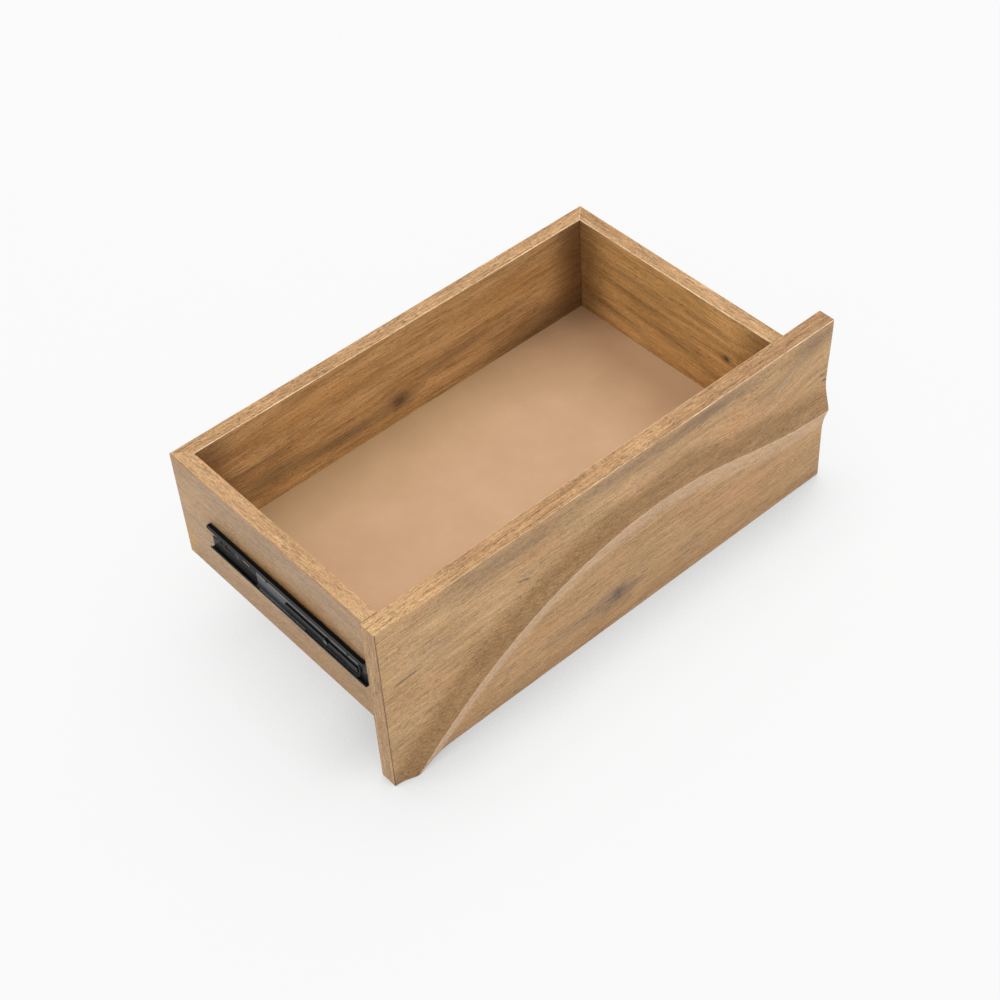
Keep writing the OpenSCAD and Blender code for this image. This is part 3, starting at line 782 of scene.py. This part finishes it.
def carved_front(seats):
    """The front panel. Its upper edge is darker at the right, and paler at the left."""
    edge = plain_wood("front_edges", "x", 5.2, EDGE, contrast=1.3, tints=(
        (on_panel(PANEL_W, PANEL_H), (150, 80), 0.5, colour(150, 110, 72)),
        (on_panel(20, PANEL_H), (120, 80), 0.7, colour(214, 172, 121)),
    ))
    back = plain_wood("front_back", "x", 8.7, INSIDE)
    ends = plain_wood("front_ends", "z", 6.1, ENDS, contrast=1.2)
    # The upper arris: paler by wear and a painted highlight, less so at the left
    arris = plain_wood("front_arris", "x", EASED_SEED, WEAR_AND_HIGHLIGHT, figure=0.0, tints=(
        (on_panel(60, PANEL_H), (440, 80), 0.85, colour(206, 165, 120)),
    ))
    seam = plain_wood("front_seam_and_shadow", "x", SEAM_SEED, FRONT_SEAMS_AND_SHADOW, figure=0.0)
    piece = finished(front_mesh(), "carved_front", "front_panel", "front_oak",
                     front_face(), edge, back, arris, seam, ends)
    cut(piece, [seats["bottom_board"]] + [seats[side + "_front_dowels"] for side in SIDES])
    for face in piece.data.polygons:
        sideways = abs(face.normal.x)
        if face.material_index == RIM and sideways > ALONG:
            face.material_index = END
        # The arrises at the ends, and the lower arris as painted shadow, get the dark look
        elif face.material_index == EASED and (sideways > ACROSS or face.normal.z < 0):
            face.material_index = SEAM
    soften(piece)


def side_outside(side, seed):
    """The outside of a side: golden above the slide, with a painted shadow just above it,
    darker and browner below it, and paler at the rear. Painted shade darkens the wood behind
    the channel's rear holes. The left one has a golden patch in its lower rear corner."""
    low, high = in_mm(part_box(side + "_side"))
    front, bottom, rear, top = low.y, low.z, high.y, high.z
    slide_low, slide_high = in_mm(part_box(side + "_slide_channel"))
    slide_middle = (slide_low.z + slide_high.z) / 2
    tints = [
        # Painted shade behind the channel's rear holes
        ((slide_high.y - 20, slide_middle), (34, 14), 0.9, colour(40, 34, 30)),
        ((rear - 190, top - 16), (190, 28), 0.3, colour(160, 138, 116)),
        ((rear - 25, top - 45), (60, 50), 0.5, colour(214, 174, 130)),
        ((front + 60, bottom + 5), (420, 60), 0.85, colour(172, 134, 92)),
        # Painted shadow: a brown band just above the slide
        ((front + 120, slide_high.z + 8), (230, 24), 0.65, colour(170, 128, 76)),
        ((front + 110, slide_high.z + 1), (190, 13), 0.8, colour(142, 99, 50)),
    ]
    if side == "left":
        tints.append(((rear - 4, bottom + 22), (20, 40), 0.65, colour(212, 164, 96)))
    return plain_wood(side + "_outside", "y", seed, OUTSIDE, contrast=0.85, tints=tints)


def side_inside(side, seed, front, rear):
    """The inside of a side, from its front to its rear corner, with dark streaks and painted
    shade by both corners. The right one is paler, with painted light, and has a small knot."""
    high = in_mm(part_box(side + "_side"))[1]
    streaks = [((high.y - back, high.z - down), size, 0.4, colour(112, 92, 66))
               for back, down, size in (
                   (95, 40, (80, 7)), (120, 62, (110, 9)), (160, 84, (100, 10)),
                   (215, 30, (70, 6)), (250, 96, (90, 9)), (70, 100, (60, 10)))]
    tones, knots = INSIDE, ()
    if side == "right":
        knot = (high.y - 246, high.z - 61)
        # Painted light: the right side takes the paler inside tones
        tones, knots = INSIDE_PAINTED_LIGHT, ((knot, 2.8),)
        streaks.append((knot, (5, 4), 0.6, colour(34, 27, 22)))
    return plain_wood(side + "_inside", "y", seed, tones, figure=0.25,
                      tints=streaks, knots=knots, ends=(front, rear))


def side_edges(side, seed):
    """The edges of a side. The left ones are paler, with short marks, and palest in front."""
    low, high = in_mm(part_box(side + "_side"))
    if side == "right":
        return plain_wood("right_edges", "y", seed, EDGE, contrast=1.25)
    return plain_wood("left_edges", "y", seed, TOPS, fibre=0.2, tints=(
        ((low.y + 20, high.z), (60, 60), 0.25, colour(234, 190, 140)),
    ))


def box_side(side, seats, worn_and_lit):
    """A side of the box, which meets the panel's back and the back board's mitre."""
    low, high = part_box(side + "_side")
    back_low, back_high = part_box("back_board")
    thickness = back_high.y - back_low.y
    outer, inner, out = (low.x, high.x, -1) if side == "left" else (high.x, low.x, 1)
    outline = [(outer, low.y), (outer, high.y), (inner, high.y - thickness), (inner, low.y)]
    seed = {"left": 1.3, "right": 6.4}[side]
    outside = side_outside(side, seed)
    inside = side_inside(side, seed + 2, low.y / MM, back_low.y / MM)
    edge = side_edges(side, seed + 4)
    if side == "left":
        worn_and_lit = (plain_wood("left_arris", "y", EASED_SEED, TOPS, figure=0.0), worn_and_lit[1])
    let_in = ["bottom_board"] + [side + end for end in LET_IN_SIDE]
    board(side + "_side_board", outline, side + "_side",
          (((out, 0, 0), outside), ((-out, 0, 0), inside), edge),
          worn_and_lit, [seats[node] for node in let_in])


def box_back(seats, worn_and_lit):
    """The back of the box. Inside it has a knot, grey and golden places, and painted shade by
    its corners and at its lower right.
    """
    low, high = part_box("back_board")
    thickness = high.y - low.y
    outline = [(low.x, high.y), (high.x, high.y),
               (high.x - thickness, low.y), (low.x + thickness, low.y)]
    left, right = (low.x + thickness) / MM, (high.x - thickness) / MM
    bottom, top = low.z / MM, high.z / MM
    grey, gold, dark = colour(112, 92, 70), colour(202, 152, 92), colour(66, 50, 34)
    outside = plain_wood("back_outside", "x", 4.6, OUTSIDE)
    # Inside: painted shade by both corners, through ends
    inside = plain_wood(
        "back_inside", "x", 2.9, INSIDE, figure=0.15, ends=(left, right),
        knots=(((left + 256, top - 96), 6.4),),
        tints=(
            ((left + 70, top - 92), (130, 18), 0.5, colour(118, 108, 82)),
            ((left + 180, top - 100), (100, 12), 0.65, grey),
            ((left + 60, top - 66), (80, 8), 0.5, grey),
            ((left + 340, top - 80), (110, 12), 0.45, grey),
            ((left + 150, top - 35), (130, 22), 0.5, gold),
            ((left + 430, top - 40), (120, 30), 0.55, gold),
            # Painted shade: the lower right part, and by the right corner
            ((right - 45, bottom + 24), (170, 50), 0.6, dark),
            ((right - 6, top - 45), (40, 80), 0.35, dark),
        ))
    edge = plain_wood("back_edges", "x", 7.5, EDGE, contrast=1.5)
    let_in = ["bottom_board"] + [side + "_mitre_biscuits" for side in SIDES]
    board("rear_board", outline, "back_board",
          (((0, 1, 0), outside), ((0, -1, 0), inside), edge),
          worn_and_lit, [seats[node] for node in let_in])


def dress(material, *nodes):
    """Gives CAD nodes whose shape is right their material."""
    for node in nodes:
        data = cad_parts[node].data
        data.materials.clear()
        data.materials.append(material)


def hardware():
    """The slides, and what is let into the wood."""
    # The second tone of each coat is the pale one of wear and painted highlight
    black = coated_metal("black_coat", colour(4, 4, 5), colour(104, 104, 106), 0.42, 0.08,
                         channel_tones)
    grey = coated_metal("grey_plate", colour(58, 59, 61), colour(120, 121, 122), 0.34, 0.4,
                        rail_tones)
    zinc = bright_metal("zinc", colour(196, 198, 204), colour(140, 142, 148), 0.30)
    dark_steel = bright_metal("dark_steel", colour(86, 86, 88), colour(56, 56, 58), 0.38)
    steel = bright_metal("ball_steel_look", colour(214, 216, 220), colour(170, 172, 176), 0.14)
    plastic = moulded("black_plastic", colour(10, 10, 11), 0.42, 0.15)
    rubber = moulded("rubber", colour(34, 33, 33), 0.75, 0.3)
    beech = plain_wood("beech_wood", "y", 9.1, BEECH)
    dress(board_face(), "bottom_board")
    for side in SIDES:
        dress(black, side + "_slide_channel")
        dress(grey, side + "_cabinet_rail")
        dress(zinc, side + "_ball_cage")
        dress(dark_steel, side + "_channel_screws", side + "_lever_rivet")
        dress(steel, side + "_slide_balls")
        dress(plastic, side + "_release_lever")
        dress(rubber, side + "_stop_bumper")
        dress(beech, side + "_front_dowels", side + "_mitre_biscuits")


def white_for_the_eye(tree, lighting, seen):
    """One strength for the rays that light the object, and another for what the camera
    sees, also in gloss and through glass."""
    path = tree.nodes.new("ShaderNodeLightPath")
    looking = path.outputs["Is Camera Ray"]
    for name in ("Is Glossy Ray", "Is Transmission Ray"):
        either = tree.nodes.new("ShaderNodeMath")
        either.operation = "MAXIMUM"
        tree.links.new(looking, either.inputs[0])
        tree.links.new(path.outputs[name], either.inputs[1])
        looking = either.outputs[0]
    chosen = tree.nodes.new("ShaderNodeMapRange")
    tree.links.new(looking, chosen.inputs["Value"])
    chosen.inputs["To Min"].default_value = lighting
    chosen.inputs["To Max"].default_value = seen
    return chosen.outputs[0]


def studio():
    """White surroundings, one large soft lamp above the right rear, and a pale floor."""
    world = bpy.data.worlds.new("studio")
    world.use_nodes = True
    background = world.node_tree.nodes["Background"]
    background.inputs["Color"].default_value = (1, 1, 1, 1)
    strength = white_for_the_eye(world.node_tree, WORLD_STRENGTH, BACKGROUND)
    world.node_tree.links.new(strength, background.inputs["Strength"])
    bpy.context.scene.world = world
    lamp = bpy.data.lights.new("softbox", "AREA")
    lamp.shape = "DISK"
    lamp.size = LAMP_SIZE
    lamp.energy = LAMP_POWER
    hung = bpy.data.objects.new("softbox", lamp)
    hung.location = LAMP_PLACE
    hung.rotation_euler = (-hung.location).to_track_quat("-Z", "Y").to_euler()
    bpy.context.scene.collection.objects.link(hung)
    floor()


def floor():
    """A pale floor that glows, and darkens where the object hides the surroundings."""
    shape = bmesh.new()
    bmesh.ops.create_grid(shape, x_segments=2, y_segments=2, size=FLOOR_SIZE / 2)
    data = bpy.data.meshes.new("floor")
    shape.to_mesh(data)
    shape.free()
    ground = bpy.data.objects.new("floor", data)
    ground.location.z = -FLOOR_DROP
    bpy.context.scene.collection.objects.link(ground)
    look = Shader("floor")
    look.set(Base_Color=(FLOOR_ALBEDO, FLOOR_ALBEDO, FLOOR_ALBEDO, 1), Roughness=1.0,
             Specular_IOR_Level=0.0, Emission_Color=(1, 1, 1, 1))
    panel_back, before, behind = PANEL_HIGH.y / MM, 10, 50
    y = look.parts(look.place())[1]
    under_box = look.step(y, panel_back - before, panel_back + behind)
    shade = 1.0
    for reach, depth in ((SHADE_REACH, SHADE_DEPTH),
                         (UNDER_REACH, look.times(under_box, UNDER_DEPTH))):
        nearby = look.add("ShaderNodeAmbientOcclusion", samples=SHADE_SAMPLES)
        nearby.inputs["Distance"].default_value = reach
        hidden = look.minus(1.0, nearby.outputs["AO"])
        shade = look.minus(shade, look.times(look.times(hidden, hidden), depth))
    glow = white_for_the_eye(look.tree, FLOOR_BOUNCE, FLOOR_SEEN)
    look.set(Emission_Strength=look.times(glow, shade))
    data.materials.append(look.material)


def camera():
    """The camera, at the photograph's angle."""
    azimuth, elevation, roll = (math.radians(angle) for angle in (AZIMUTH, ELEVATION, ROLL))
    back = Vector((math.sin(azimuth) * math.cos(elevation),
                   -math.cos(azimuth) * math.cos(elevation),
                   math.sin(elevation)))
    right = Vector((math.cos(azimuth), math.sin(azimuth), 0))
    up = back.cross(right)
    aim = Vector((0, 0, AIM_HEIGHT)) + right * AIM_RIGHT + up * AIM_UP
    across = right * math.cos(roll) + up * math.sin(roll)
    upright = up * math.cos(roll) - right * math.sin(roll)
    data = bpy.data.cameras.new("camera")
    data.lens = LENS
    data.sensor_width = SENSOR
    made = bpy.data.objects.new("camera", data)
    turned = Matrix((across, upright, back)).transposed().to_4x4()
    made.matrix_world = Matrix.Translation(aim + back * DISTANCE) @ turned
    bpy.context.scene.collection.objects.link(made)
    bpy.context.scene.camera = made


def main():
    """Sets up the studio, dresses the CAD nodes and makes the four boards."""
    camera()
    studio()
    bpy.context.scene.view_settings.view_transform = "Standard"
    let_in = ["bottom_board"] + [side + end for side in SIDES for end in LET_IN_SIDE]
    seats = {node: seat_cutter(node) for node in let_in}
    worn_and_lit = {grain: eased_and_seam_looks(grain) for grain in ("x", "y")}
    carved_front(seats)
    for side in SIDES:
        box_side(side, seats, worn_and_lit["y"])
    box_back(seats, worn_and_lit["x"])
    for cutter in seats.values():
        bpy.data.objects.remove(cutter)
    hardware()


main()
